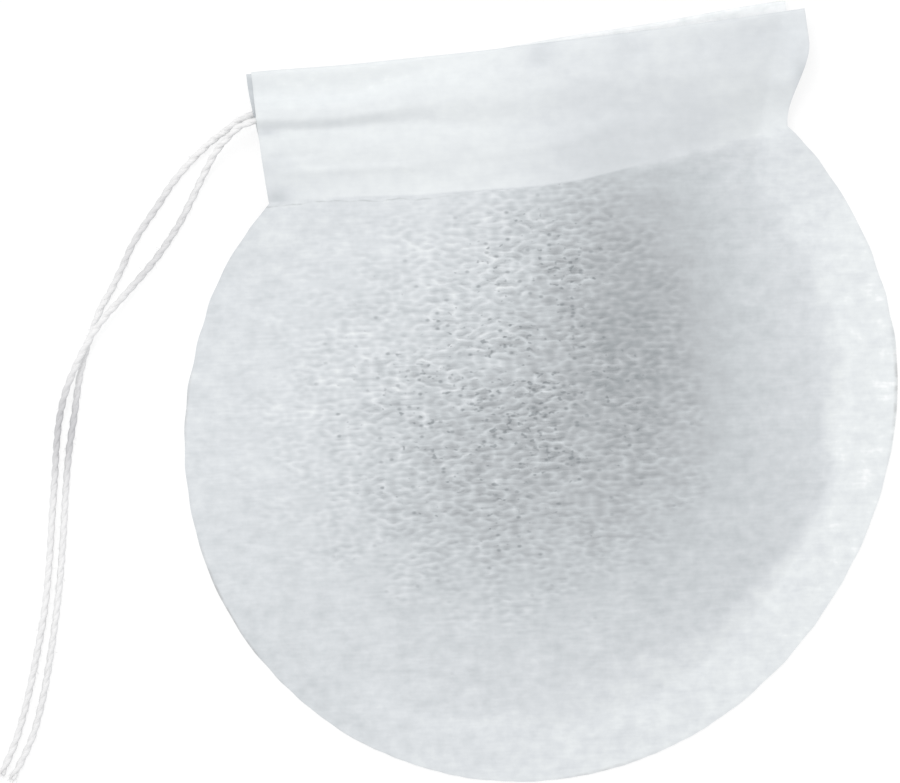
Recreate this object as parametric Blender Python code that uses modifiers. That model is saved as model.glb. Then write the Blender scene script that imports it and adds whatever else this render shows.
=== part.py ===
"""A round drawstring tea filter bag, lying on its back sheet with its mouth a little open.

Two sheets of thin filter paper are sealed together round their edge. Each sheet is folded
inwards along the mouth, which makes a tunnel. One cotton string runs along both tunnels:
it turns inside the right-hand end and leaves the left-hand end as two free ends.

Frame: +X along the mouth, +Y out through the mouth, +Z up. The origin is the middle of the
round body, on the surface that the bag lies on. All lengths are in metres.
"""
import math

import bmesh
import bpy
import numpy as np

# Paper, string and the air that is kept between pieces that touch.
PAPER = 0.0002
STRING = 0.0008
AIR = 0.0003

# Round body: a mean radius, an oval part and a broad bulge on the right.
BODY_RADIUS = 0.0400
OVAL = 0.0016
OVAL_ANGLE = math.radians(52)
BULGE = 0.0006
BULGE_ANGLE = math.radians(17)
BULGE_SPREAD = math.radians(69)

# Neck corners, where the round edge meets the ends of the hem.
NECK_LEFT = (-0.0265, 0.0271)
NECK_RIGHT = (0.0318, 0.0280)
NECK_SPREAD = math.radians(9)
NECK_RUN = 0.009                # length over which the front sheet climbs to the hem

# Hem: the mouth's fold line, and how far each end leans out at the fold.
MOUTH_Y = 0.0420
FRONT_FLARE = 0.0036
BACK_FLARE = 0.0016
BACK_PEEP = 0.0004              # the back hem shows this much past the front at the left
FLARE_REACH = 0.75              # share of the hem's height in which the flare grows
FRONT_DROP = 0.0012             # the raised front fold is drawn down by this much
DROP_REACH = 0.45               # share of the hem's length in which the drop grows
LINE_SAG = 0.0019               # sag of the front hem line between the neck corners

# Tunnel inside each hem.
FOLD_ROOM = 0.0006              # clear height just inside the fold
FOLD_REACH = 0.0020             # the walls come together this far below the fold
RIDGE_TOP = 0.0008              # half width of the level top of the ridge over the string
RIDGE_FOOT = 0.0024             # half width of the whole ridge
BASE_RISE = 0.0060              # the front hem climbs over the back string in this length
FLAP_STOP = 0.0004              # the flap ends this far above the hem line
FLAP_SLANT = 0.0022             # the flap's right end slants back over this length

# Hollow between the sheets.
FLAT_EDGE = 0.0060              # the sheets lie together this far in from the round edge
MOUTH_EDGE = 0.0020             # and this far in from the ends of the hem, at the fold
PUFF = 0.0070                   # rise of the front sheet over the middle of the body
MOUTH_RISE = 0.0064             # rise of the front hem over the back hem
PEAK_SHIFT = 0.20               # the highest line lies this share of a half width to the right
PUFF_POWER = 1.15               # above 1 softens the rise next to the flat edge

# String: its line below the fold, its wander, and its turn inside the right-hand end.
STRING_DEPTH = 0.0052
STRING_WANDER = 0.0009
WANDER_LENGTH = 0.050
WANDER_CREST_X = -0.0145
BACK_STRING_RAISE = 0.0008      # the back run lies nearer the fold by this much
TURN_INSET = 0.0030             # from the turn's outside to the back hem's right end
TURN_LENGTH = 0.0024
JOIN_INSET = 0.0012             # the free ends begin this far inside the hem's left end

# Grid of each sheet: columns, and rows up the body, the hem and round the fold.
COLUMNS = 24
BODY_ROWS = 18
HEM_STRETCHES = (3, 1, 1, 1, 2)  # below the ridge, its slope, top and slope, and above it
HEM_ROWS = sum(HEM_STRETCHES)
FOLD_ROWS = 4
ARC_STEPS = 120

# Points along the string lie this many diameters apart.
STRING_STEP = 2.6
STRING_SIDES = 2                # bevel resolution, which gives eight sides

# Routes of the two free ends on the surface, chosen by hand, from just outside the hem.
BACK_END_ROUTE = [
    (-0.0285, 0.0368), (-0.0303, 0.0358), (-0.0322, 0.0347), (-0.0345, 0.0330),
    (-0.0369, 0.0308), (-0.0388, 0.0286), (-0.0407, 0.0265), (-0.0423, 0.0245),
    (-0.0436, 0.0224), (-0.0452, 0.0200), (-0.0467, 0.0180), (-0.0481, 0.0153),
    (-0.0493, 0.0127), (-0.0503, 0.0098), (-0.0511, 0.0068), (-0.0522, 0.0030),
    (-0.0532, -0.0015), (-0.0541, -0.0062), (-0.0553, -0.0118), (-0.0567, -0.0172),
    (-0.0584, -0.0228), (-0.0601, -0.0272), (-0.0617, -0.0300), (-0.0634, -0.0324),
]
FRONT_END_ROUTE = [
    (-0.0285, 0.0361), (-0.0301, 0.0350), (-0.0317, 0.0335), (-0.0331, 0.0316),
    (-0.0347, 0.0292), (-0.0364, 0.0267), (-0.0383, 0.0244), (-0.0402, 0.0224),
    (-0.0422, 0.0206), (-0.0443, 0.0188), (-0.0464, 0.0170), (-0.0484, 0.0148),
    (-0.0501, 0.0123), (-0.0517, 0.0095), (-0.0528, 0.0066), (-0.0535, 0.0038),
    (-0.0542, 0.0002), (-0.0551, -0.0042), (-0.0560, -0.0088), (-0.0573, -0.0143),
    (-0.0589, -0.0193), (-0.0605, -0.0238), (-0.0624, -0.0282), (-0.0645, -0.0317),
]
DROP_LENGTH = 0.009             # a free end comes down to the surface over this length
LIE_CLEAR = 0.00005             # and lies this far clear of it
CROSSING = (-0.0484, 0.0145)    # where the front end lies on the back end
CROSSING_HALF = 0.0052          # half the length in which it is fully raised
CROSSING_RAMP = 0.0050          # and the length of the slope on either side

PAPER_COLOUR = (0.86, 0.88, 0.89, 1.0)
STRING_COLOUR = (0.90, 0.90, 0.88, 1.0)

TUNNEL_ROOM = STRING + 2 * AIR


def smooth(t):
    """Rises from 0 to 1 as t does, level at both ends."""
    t = min(max(t, 0.0), 1.0)
    return t * t * (3 - 2 * t)


def mix(a, b, t):
    return a + (b - a) * t


def oval_radius(angle):
    """Radius of the round edge before it is drawn to the neck corners."""
    off = (angle - BULGE_ANGLE + math.pi) % math.tau - math.pi
    return (BODY_RADIUS + OVAL * math.cos(2 * (angle - OVAL_ANGLE))
            + BULGE * math.exp(-(off / BULGE_SPREAD) ** 2))


def edge_radius(angle):
    """Radius of the round edge, drawn to both neck corners."""
    radius = oval_radius(angle)
    for corner in (NECK_LEFT, NECK_RIGHT):
        at = math.atan2(corner[1], corner[0])
        off = (angle - at + math.pi) % math.tau - math.pi
        pull = math.hypot(*corner) - oval_radius(at)
        radius += pull * math.exp(-(off / NECK_SPREAD) ** 2)
    return radius


def edge_point(share, inset=0.0):
    """Point on the round edge: share 0 is the left neck corner and share 1 the right one."""
    start = math.atan2(NECK_LEFT[1], NECK_LEFT[0])
    end = math.atan2(NECK_RIGHT[1], NECK_RIGHT[0]) + math.tau
    angle = mix(start, end, share)
    radius = edge_radius(angle) - inset
    return radius * math.cos(angle), radius * math.sin(angle)


def hem_line_y(u, sag):
    return mix(NECK_LEFT[1], NECK_RIGHT[1], u) - sag * 4 * u * (1 - u)


def body_plan(u, v, sag):
    """Plan point of the body: an even patch between the round edge and the hem line."""
    side_share = BODY_ROWS / (2 * BODY_ROWS + COLUMNS)
    left = edge_point(mix(side_share, 0, v))
    right = edge_point(mix(1 - side_share, 1, v))
    bottom = edge_point(mix(side_share, 1 - side_share, u))
    top = (mix(NECK_LEFT[0], NECK_RIGHT[0], u), hem_line_y(u, sag))
    low_left = edge_point(side_share)
    low_right = edge_point(1 - side_share)
    point = []
    for k in (0, 1):
        across = mix(left[k], right[k], u)
        along = mix(bottom[k], top[k], v)
        corners = mix(mix(low_left[k], low_right[k], u), mix(NECK_LEFT[k], NECK_RIGHT[k], u), v)
        point.append(across + along - corners)
    return point


def hollow_limits():
    """Left and right limits of the hollow, each as heights and positions from the bottom up."""
    points = [edge_point(k / ARC_STEPS, FLAT_EDGE) for k in range(ARC_STEPS + 1)]
    lowest = min(range(len(points)), key=lambda k: points[k][1])
    left = points[:lowest + 1][::-1]
    left.append((NECK_LEFT[0] + MOUTH_EDGE, MOUTH_Y))
    right = points[lowest:]
    right.append((NECK_RIGHT[0] + FRONT_FLARE - MOUTH_EDGE, MOUTH_Y))
    return np.array(left), np.array(right)


HOLLOW_LEFT, HOLLOW_RIGHT = hollow_limits()
HOLLOW_BOTTOM = HOLLOW_LEFT[0][1]


def puff(x, y):
    """Rise of the front sheet over the back one, which lies flat."""
    if y <= HOLLOW_BOTTOM:
        return 0.0
    left = np.interp(y, HOLLOW_LEFT[:, 1], HOLLOW_LEFT[:, 0])
    right = np.interp(y, HOLLOW_RIGHT[:, 1], HOLLOW_RIGHT[:, 0])
    s = min(max((2 * x - left - right) / (right - left), -1.0), 1.0)
    s -= PEAK_SHIFT * (1 - s * s)
    across = max(1 - s * s, 0.0)
    if y < 0:
        along = 1 - (y / HOLLOW_BOTTOM) ** 2
    else:
        along = mix(1.0, MOUTH_RISE / PUFF, smooth(y / MOUTH_Y))
    return PUFF * (across * along) ** PUFF_POWER


def front_flap_top(x, y, above_line):
    """Top of the front flap, which climbs over the back hem and its string."""
    base = mix(AIR, TUNNEL_ROOM, smooth(above_line / BASE_RISE))
    return 3 * PAPER + base + AIR + puff(x, y)


class Sheet:
    """One sheet of paper: its round body, its wall up to the fold, and its flap back down."""

    def __init__(self, front):
        self.front = front
        self.sag = LINE_SAG if front else 0.0
        self.drop = FRONT_DROP if front else 0.0
        self.flare = FRONT_FLARE if front else BACK_FLARE
        self.peep = 0.0 if front else BACK_PEEP
        self.string_raise = 0.0 if front else BACK_STRING_RAISE
        self.fold_radius = (FOLD_ROOM + PAPER) / 2

    def left_end(self, t):
        return NECK_LEFT[0] - self.peep * smooth(t)

    def right_end(self, t):
        return NECK_RIGHT[0] + self.flare * smooth(t / FLARE_REACH)

    def fold_y(self, u):
        return MOUTH_Y - self.drop * smooth(u / DROP_REACH)

    def fold_start(self, u):
        return self.fold_y(u) - self.fold_radius - PAPER / 2

    def share_up(self, u, y):
        """Share of the way from the hem line to the fold."""
        line = hem_line_y(u, self.sag)
        return (y - line) / (self.fold_start(u) - line)

    def string_y(self, x):
        """Height of the string's line in this tunnel, at a place along the mouth."""
        u = (x - NECK_LEFT[0]) / (NECK_RIGHT[0] - NECK_LEFT[0])
        wander = STRING_WANDER * math.cos(math.tau * (x - WANDER_CREST_X) / WANDER_LENGTH)
        return self.fold_y(u) - STRING_DEPTH - wander + self.string_raise

    def hem_row_y(self, u, row, bottom, cut):
        """Height of a row of the hem: rows are even, but gather at the ridge over the string."""
        x = mix(NECK_LEFT[0], self.right_end(FLARE_REACH) - cut, u)
        middle = self.string_y(x)
        stops = [bottom, middle - RIDGE_FOOT, middle - RIDGE_TOP, middle + RIDGE_TOP,
                 middle + RIDGE_FOOT, self.fold_start(u)]
        for low, high, count in zip(stops, stops[1:], HEM_STRETCHES):
            if row <= count:
                return mix(low, high, row / count)
            row -= count
        return stops[-1]

    def tunnel_room(self, x, u, y):
        """Clear height between wall and flap: a ridge over the string, and a small one at the fold."""
        ridge = smooth((RIDGE_FOOT - abs(y - self.string_y(x))) / (RIDGE_FOOT - RIDGE_TOP))
        fold = smooth(1 - (self.fold_start(u) - y) / FOLD_REACH)
        return AIR + (TUNNEL_ROOM - AIR) * ridge + (FOLD_ROOM - AIR) * fold

    def levels(self, x, u, y):
        """Middle heights of the wall and of the flap."""
        room = self.tunnel_room(x, u, y)
        if not self.front:
            return PAPER / 2, PAPER * 1.5 + room
        flap = front_flap_top(x, y, y - hem_line_y(u, self.sag)) - PAPER / 2
        return flap + PAPER + room, flap

    def body_point(self, u, v):
        x, y = body_plan(u, v, self.sag)
        if not self.front:
            return x, y, PAPER / 2
        line = hem_line_y(u, self.sag)
        low = PAPER * 1.5 + AIR
        high = self.levels(x, u, line)[0] - puff(x, line)
        climb = smooth(1 - (line - y) / NECK_RUN)
        return x, y, mix(low, high, climb) + puff(x, y)

    def wall_point(self, u, row):
        y = self.hem_row_y(u, row, hem_line_y(u, self.sag), 0.0)
        t = self.share_up(u, y)
        x = mix(self.left_end(t), self.right_end(t), u)
        return x, y, self.levels(x, u, y)[0]

    def fold_point(self, u, turn):
        """Round the fold from the wall, turn 0, to the flap, turn 1."""
        x = mix(self.left_end(1), self.right_end(1), u)
        start = self.fold_start(u)
        wall, flap = self.levels(x, u, start)
        angle = math.pi * turn
        y = start + self.fold_radius * math.sin(angle)
        return x, y, (wall + flap) / 2 + (wall - flap) / 2 * math.cos(angle)

    def flap_point(self, u, row):
        """The flap's right end is cut back, which leaves room for the string to turn."""
        full_cut = TURN_INSET + TURN_LENGTH + STRING
        y = self.hem_row_y(u, row, hem_line_y(u, self.sag) + FLAP_STOP, full_cut)
        t = self.share_up(u, y)
        cut = full_cut * smooth((self.fold_start(u) - y) / FLAP_SLANT)
        x = mix(self.left_end(t), self.right_end(t) - cut, u)
        return x, y, self.levels(x, u, y)[1]

    def point(self, u, row):
        """Point of the sheet, by its share of the width and its row from the bottom up."""
        if row <= BODY_ROWS:
            return self.body_point(u, row / BODY_ROWS)
        row -= BODY_ROWS
        if row <= HEM_ROWS:
            return self.wall_point(u, row)
        row -= HEM_ROWS
        if row <= FOLD_ROWS:
            return self.fold_point(u, row / FOLD_ROWS)
        row -= FOLD_ROWS
        return self.flap_point(u, HEM_ROWS - row)


def back_string_point(x):
    return x, BACK.string_y(x), PAPER + AIR + STRING / 2


def front_string_point(x):
    y = FRONT.string_y(x)
    u = (x - NECK_LEFT[0]) / (NECK_RIGHT[0] - NECK_LEFT[0])
    above_line = y - hem_line_y(u, FRONT.sag)
    return x, y, front_flap_top(x, y, above_line) + AIR + STRING / 2


FRONT = Sheet(front=True)
BACK = Sheet(front=False)


def smooth_route(points, step):
    """Evenly spaced points on a smooth curve through the route's own points."""
    p = np.array(points, dtype=float)
    p = np.vstack([2 * p[0] - p[1], p, 2 * p[-1] - p[-2]])
    fine = []
    for k in range(1, len(p) - 2):
        for t in np.linspace(0, 1, 16, endpoint=False):
            fine.append(0.5 * (2 * p[k] + (p[k + 1] - p[k - 1]) * t
                               + (2 * p[k - 1] - 5 * p[k] + 4 * p[k + 1] - p[k + 2]) * t ** 2
                               + (3 * p[k] - p[k - 1] - 3 * p[k + 1] + p[k + 2]) * t ** 3))
    fine.append(p[-2])
    fine = np.array(fine)
    along = np.concatenate([[0], np.cumsum(np.linalg.norm(np.diff(fine, axis=0), axis=1))])
    count = max(2, round(along[-1] / step))
    even = np.linspace(0, along[-1], count + 1)
    return np.stack([np.interp(even, along, fine[:, k]) for k in range(3)], axis=1)


def held_route():
    """The string inside the hem: along the back tunnel, round the turn, along the front one."""
    left = BACK.left_end(1) + JOIN_INSET
    turn_x = BACK.right_end(1) - TURN_INSET - STRING / 2 - TURN_LENGTH
    run = np.linspace(left, turn_x, 20)
    back_run = [back_string_point(x) for x in run]
    front_run = [front_string_point(x) for x in run[::-1]]
    start, end = np.array(back_run[-1]), np.array(front_run[0])
    turn = []
    for angle in np.linspace(-math.pi / 2, math.pi / 2, 7)[1:-1]:
        middle = mix(start, end, (1 + math.sin(angle)) / 2)
        turn.append(middle + np.array([TURN_LENGTH * math.cos(angle), 0, 0]))
    return back_run + [tuple(p) for p in turn] + front_run


def free_route(first, plan, crosses):
    """A free end: out of the hem, down to the surface, and along it to the cut end."""
    lie = STRING / 2 + LIE_CLEAR
    start = np.array(first)
    start[0] -= AIR
    flat = np.array([start[:2]] + list(plan))
    along = np.concatenate([[0], np.cumsum(np.linalg.norm(np.diff(flat, axis=0), axis=1))])
    past_hem = np.linalg.norm(flat[1] - flat[0])
    points = []
    for (x, y), gone in zip(flat, along):
        height = mix(start[2], lie, smooth((gone - past_hem) / DROP_LENGTH))
        if crosses:
            off = math.hypot(x - CROSSING[0], y - CROSSING[1])
            height += (STRING + AIR) * smooth((CROSSING_HALF + CROSSING_RAMP - off) / CROSSING_RAMP)
        points.append((x, y, height))
    return points


def paint(item, colour, roughness):
    material = bpy.data.materials.new(item.name)
    material.use_nodes = True
    shader = material.node_tree.nodes["Principled BSDF"]
    shader.inputs["Base Color"].default_value = colour
    shader.inputs["Roughness"].default_value = roughness
    shader.inputs["Metallic"].default_value = 0.0
    item.data.materials.append(material)


def make_sheet(name, sheet, collection):
    """A flat grid, bent into the sheet's middle surface and given the paper's thickness."""
    rows = BODY_ROWS + HEM_ROWS + FOLD_ROWS + HEM_ROWS
    grid = bmesh.new()
    bmesh.ops.create_grid(grid, x_segments=COLUMNS, y_segments=rows, size=1.0)
    for vertex in grid.verts:
        column = round((vertex.co.x + 1) / 2 * COLUMNS)
        row = round((vertex.co.y + 1) / 2 * rows)
        vertex.co = sheet.point(column / COLUMNS, row)
    mesh = bpy.data.meshes.new(name)
    grid.to_mesh(mesh)
    grid.free()
    item = bpy.data.objects.new(name, mesh)
    collection.objects.link(item)
    wall = item.modifiers.new("paper thickness", "SOLIDIFY")
    wall.thickness = PAPER
    wall.offset = 0.0
    mesh.shade_smooth()
    paint(item, PAPER_COLOUR, 0.9)
    return item


def make_string(name, route, collection):
    """A round string along a route, with closed ends."""
    points = smooth_route(route, STRING_STEP * STRING)
    curve = bpy.data.curves.new(name, "CURVE")
    curve.dimensions = "3D"
    curve.bevel_depth = STRING / 2
    curve.bevel_resolution = STRING_SIDES
    curve.use_fill_caps = True
    spline = curve.splines.new("POLY")
    spline.points.add(len(points) - 1)
    for target, point in zip(spline.points, points):
        target.co = (*point, 1.0)
    item = bpy.data.objects.new(name, curve)
    collection.objects.link(item)
    paint(item, STRING_COLOUR, 0.85)
    return item


def main():
    for item in list(bpy.data.objects):
        bpy.data.objects.remove(item)
    bag = bpy.data.collections.new("round tea filter bag")
    bpy.context.scene.collection.children.link(bag)
    make_sheet("back_sheet", BACK, bag)
    make_sheet("front_sheet", FRONT, bag)
    held = held_route()
    make_string("drawstring", held, bag)
    make_string("string_end_back", free_route(held[0], BACK_END_ROUTE, False), bag)
    make_string("string_end_front", free_route(held[-1], FRONT_END_ROUTE, True), bag)


main()
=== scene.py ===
# %% [markdown]
# # A round tea filter bag, dressed for the camera
#
# The bag is two sheets of thin white filter paper, sealed together round their edge. Along the
# mouth each sheet is folded inwards, and one cotton string runs through both folds and out at the
# left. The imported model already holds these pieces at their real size. This script lays a finer
# paper and a twisted string over them, in the same place.
#
# All lengths are in metres: +X runs along the mouth, +Y out through it and +Z up.

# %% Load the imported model
import math

import bmesh
import bpy
import numpy as np
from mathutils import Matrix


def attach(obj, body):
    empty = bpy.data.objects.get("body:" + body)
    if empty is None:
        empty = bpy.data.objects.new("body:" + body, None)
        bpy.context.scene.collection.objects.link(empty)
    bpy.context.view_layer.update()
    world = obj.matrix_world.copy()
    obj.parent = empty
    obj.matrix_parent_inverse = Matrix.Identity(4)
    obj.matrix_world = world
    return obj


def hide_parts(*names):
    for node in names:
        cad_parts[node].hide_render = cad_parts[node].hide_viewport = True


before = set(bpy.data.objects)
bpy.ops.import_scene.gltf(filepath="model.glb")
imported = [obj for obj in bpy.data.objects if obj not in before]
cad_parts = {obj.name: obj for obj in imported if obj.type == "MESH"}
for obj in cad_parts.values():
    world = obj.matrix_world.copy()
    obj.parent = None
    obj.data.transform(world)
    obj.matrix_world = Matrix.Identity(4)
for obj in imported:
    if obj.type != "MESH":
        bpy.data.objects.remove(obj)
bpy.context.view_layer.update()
print("nodes:", sorted(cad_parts))

# %% [markdown]
# ## Helpers
#
# A shape is often made by a modifier. It is baked at once, so that each finished piece is a plain
# mesh. Every material and Geometry Nodes tree is built through one small class, which adds a node,
# sets its properties, and fills its inputs: a node or socket is linked, a value is typed in, and a
# colour in sRGB hex is turned to the linear values that Blender works with.

# %% Helpers for objects, nodes and colours
def linked(name, data):
    """A new object in the scene."""
    item = bpy.data.objects.new(name, data)
    bpy.context.scene.collection.objects.link(item)
    return item


def baked(name, data, kind, set_up):
    """An object whose plain mesh is what one modifier makes of the data."""
    source = linked("source of " + name, data)
    set_up(source.modifiers.new("shape", kind))
    bpy.context.view_layer.update()
    evaluated = source.evaluated_get(bpy.context.evaluated_depsgraph_get())
    mesh = bpy.data.meshes.new_from_object(evaluated)
    mesh.name = name
    bpy.data.objects.remove(source)
    return linked(name, mesh)


def keep(mesh, name, values):
    """Stores a number on each point of a mesh."""
    mesh.attributes.new(name, "FLOAT", "POINT").data.foreach_set("value", values.astype(np.float32))


def linear(hex_colour):
    """An sRGB colour such as "#F0F2F3" as linear red, green, blue and alpha."""
    shares = [int(hex_colour[k:k + 2], 16) / 255 for k in (1, 3, 5)]
    return (*[s / 12.92 if s <= 0.04045 else ((s + 0.055) / 1.055) ** 2.4 for s in shares], 1.0)


class Nodes:
    """Adds nodes to a tree. An input is named by its socket's identifier or name."""

    def __init__(self, tree):
        self.tree = tree

    def fill(self, node, inputs):
        for name, value in inputs.items():
            socket = next(s for s in node.inputs if name in (s.identifier, s.name))
            for part in value if isinstance(value, list) else [value]:
                if isinstance(part, str) and part.startswith("#"):
                    part = linear(part)
                if isinstance(part, bpy.types.Node):
                    part = part.outputs[0]
                if isinstance(part, bpy.types.NodeSocket):
                    self.tree.links.new(part, socket)
                else:
                    socket.default_value = part
        return node

    def add(self, kind, inputs=None, **settings):
        node = self.tree.nodes.new(kind)
        for name, value in settings.items():
            setattr(node, name, value)
        return self.fill(node, inputs or {})

    def maths(self, operation, a, b=0.0, c=0.0):
        inputs = {"Value": a, "Value_001": b, "Value_002": c}
        return self.add("ShaderNodeMath", inputs, operation=operation)

    def vector(self, operation, a, b=(0, 0, 0), scale=1.0):
        inputs = {"Vector": a, "Vector_001": b, "Scale": scale}
        return self.add("ShaderNodeVectorMath", inputs, operation=operation)

    def joined(self, x, y, z):
        return self.add("ShaderNodeCombineXYZ", {"X": x, "Y": y, "Z": z})

    def ranged(self, value, low, high, to_low=0.0, to_high=1.0, way="SMOOTHSTEP"):
        """A value taken from one range to another, and held at its ends."""
        inputs = {"Value": value, "From Min": low, "From Max": high, "To Min": to_low, "To Max": to_high}
        return self.add("ShaderNodeMapRange", inputs, interpolation_type=way)

    def mixed(self, share, colour, other):
        inputs = {"Factor_Float": share, "A_Color": colour, "B_Color": other}
        return self.add("ShaderNodeMix", inputs, data_type="RGBA").outputs[2]

    def stored(self, geometry, name, value, kind="FLOAT"):
        inputs = {"Geometry": geometry, "Name": name, "Value": value}
        return self.add("GeometryNodeStoreNamedAttribute", inputs, data_type=kind)

    def read(self, name, kind="FLOAT"):
        return self.add("GeometryNodeInputNamedAttribute", {"Name": name}, data_type=kind)


def nodes_of(data, empty=False):
    """The nodes of a material or a world."""
    data.use_nodes = True
    if empty:
        data.node_tree.nodes.clear()
    return Nodes(data.node_tree)


# %% [markdown]
# ## Camera
#
# The photograph looks straight down on the bag, with the picture turned a little. A long lens from
# far away keeps the outline as flat as in the photograph, so the raised hem isn't enlarged.

# %% Camera above the bag
VIEW_CENTRE = (-0.00936, 0.00378)  # what the middle of the picture looks at
VIEW_WIDTH = 0.1001  # width of what the picture shows
VIEW_TURN = math.radians(-7.7)
LENS_MM = 800
SENSOR_MM = 36
CLIP_REACH = 4  # the camera sees this many times as far as the floor

camera_data = bpy.data.cameras.new("camera")
camera_data.lens = LENS_MM
camera_data.sensor_width = SENSOR_MM
camera = linked("camera", camera_data)
camera_height = VIEW_WIDTH * LENS_MM / SENSOR_MM
camera.location = (*VIEW_CENTRE, camera_height)
camera.rotation_euler = (0, 0, VIEW_TURN)
camera_data.clip_end = camera_height * CLIP_REACH
bpy.context.scene.camera = camera
bpy.context.scene.view_settings.view_transform = "Standard"
print("camera height in m:", round(camera_height, 3))

# %% [markdown]
# ## Floor and light
#
# The floor is a plain white sweep. The camera sees it glow a little, so that it comes out white, but
# the glow is only part of its brightness: the rest is lit as usual, so the bag still casts a soft
# shadow. One big lamp stands above the picture, low enough to model the rise of the paper, and an
# even pale sky fills the shadows.

# %% Floor
FLOOR_SIZE = 6.0
FLOOR_DROP = 0.00002  # the floor lies this far under the bag
FLOOR_GLOW = 0.80
FLOOR_SHADE = 0.24
WHITE = (1, 1, 1, 1)

half = FLOOR_SIZE / 2
floor_data = bpy.data.meshes.new("floor")
floor_data.from_pydata([(x * half, y * half, -FLOOR_DROP) for x, y in ((-1, -1), (1, -1), (1, 1), (-1, 1))],
                       [], [(0, 1, 2, 3)])
floor = linked("floor", floor_data)

sweep = bpy.data.materials.new("matt white sweep")
nodes = nodes_of(sweep, empty=True)
ray = nodes.add("ShaderNodeLightPath").outputs
looked_at = nodes.maths("MAXIMUM", ray["Is Camera Ray"], ray["Is Glossy Ray"])
looked_at = nodes.maths("MAXIMUM", looked_at, ray["Is Transmission Ray"])
plain = nodes.add("ShaderNodeBsdfDiffuse", {"Color": "#E6E7E8"})
shaded = nodes.add("ShaderNodeBsdfDiffuse", {"Color": (*[FLOOR_SHADE] * 3, 1)})
glow = nodes.add("ShaderNodeEmission", {"Color": WHITE, "Strength": FLOOR_GLOW})
white = nodes.add("ShaderNodeAddShader", {"Shader": shaded, "Shader_001": glow})
either = nodes.add("ShaderNodeMixShader", {"Fac": looked_at, "Shader": plain, "Shader_001": white})
nodes.add("ShaderNodeOutputMaterial", {"Surface": either})
floor_data.materials.append(sweep)

# %% Sky and lamp
SKY_LIGHT = 0.81
LAMP_SHARE = 0.26  # what the lamp adds to a sheet that lies flat
LAMP_DISTANCE = 1.2
LAMP_SIZE = 0.53
LAMP_AZIMUTH = math.radians(106)  # from +X towards +Y: above the picture, a little to the left
LAMP_HEIGHT = math.radians(58)

sky = bpy.data.worlds.new("pale sky")
bpy.context.scene.world = sky
nodes = nodes_of(sky, empty=True)
ray = nodes.add("ShaderNodeLightPath").outputs
soft = nodes.add("ShaderNodeBackground", {"Color": "#FDFDFE", "Strength": SKY_LIGHT})
clear = nodes.add("ShaderNodeBackground", {"Color": WHITE, "Strength": 1.0})
either = nodes.add("ShaderNodeMixShader", {"Fac": ray["Is Camera Ray"], "Shader": soft,
                                           "Shader_001": clear})
nodes.add("ShaderNodeOutputWorld", {"Surface": either})

lamp_data = bpy.data.lights.new("big soft lamp", "AREA")
lamp_data.shape = "SQUARE"
lamp_data.size = LAMP_SIZE
lamp_data.color = linear("#FFFEFC")[:3]
lamp_data.energy = LAMP_SHARE * (math.pi * LAMP_DISTANCE) ** 2 / math.sin(LAMP_HEIGHT)
lamp = linked("big soft lamp", lamp_data)
aside = math.cos(LAMP_HEIGHT) * LAMP_DISTANCE
lamp.location = (aside * math.cos(LAMP_AZIMUTH), aside * math.sin(LAMP_AZIMUTH),
                 math.sin(LAMP_HEIGHT) * LAMP_DISTANCE)
lamp.rotation_euler = (-lamp.location).to_track_quat("-Z", "Y").to_euler()
print("lamp power in W:", round(lamp_data.energy, 2))

# %% [markdown]
# ## Sizes of the bag
#
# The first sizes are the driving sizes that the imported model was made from. Each one keeps its name
# here, so that the fine surface follows the same rules as the solid under it.

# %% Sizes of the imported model
PAPER = 0.0002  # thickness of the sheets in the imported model
STRING = 0.0008
AIR = 0.0003
TUNNEL_ROOM = STRING + 2 * AIR

BODY_RADIUS = 0.0400
OVAL = 0.0016
OVAL_ANGLE = math.radians(52)
BULGE = 0.0006
BULGE_ANGLE = math.radians(17)
BULGE_SPREAD = math.radians(69)

NECK_LEFT = (-0.0265, 0.0271)
NECK_RIGHT = (0.0318, 0.0280)
NECK_SPREAD = math.radians(9)
NECK_RUN = 0.009

MOUTH_Y = 0.0420
FRONT_FLARE = 0.0036
BACK_FLARE = 0.0016
BACK_PEEP = 0.0004
FLARE_REACH = 0.75
FRONT_DROP = 0.0012
DROP_REACH = 0.45
LINE_SAG = 0.0019

FOLD_ROOM = 0.0006
FOLD_REACH = 0.0020
RIDGE_TOP = 0.0008
RIDGE_FOOT = 0.0024
BASE_RISE = 0.0060
FLAP_STOP = 0.0004
FLAP_SLANT = 0.0022

FLAT_EDGE = 0.0060
MOUTH_EDGE = 0.0020
PUFF = 0.0070
MOUTH_RISE = 0.0064
PEAK_SHIFT = 0.20
PUFF_POWER = 1.15

STRING_DEPTH = 0.0052
STRING_WANDER = 0.0009
WANDER_LENGTH = 0.050
WANDER_CREST_X = -0.0145
BACK_STRING_RAISE = 0.0008
TURN_INSET = 0.0030
TURN_LENGTH = 0.0024
JOIN_INSET = 0.0012

# %% [markdown]
# Limp paper lies less evenly than a solid can. These sizes are the small changes that it shows. A
# dip is given by its middle, its reach and its depth, with the first two as shares of the hem.

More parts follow.
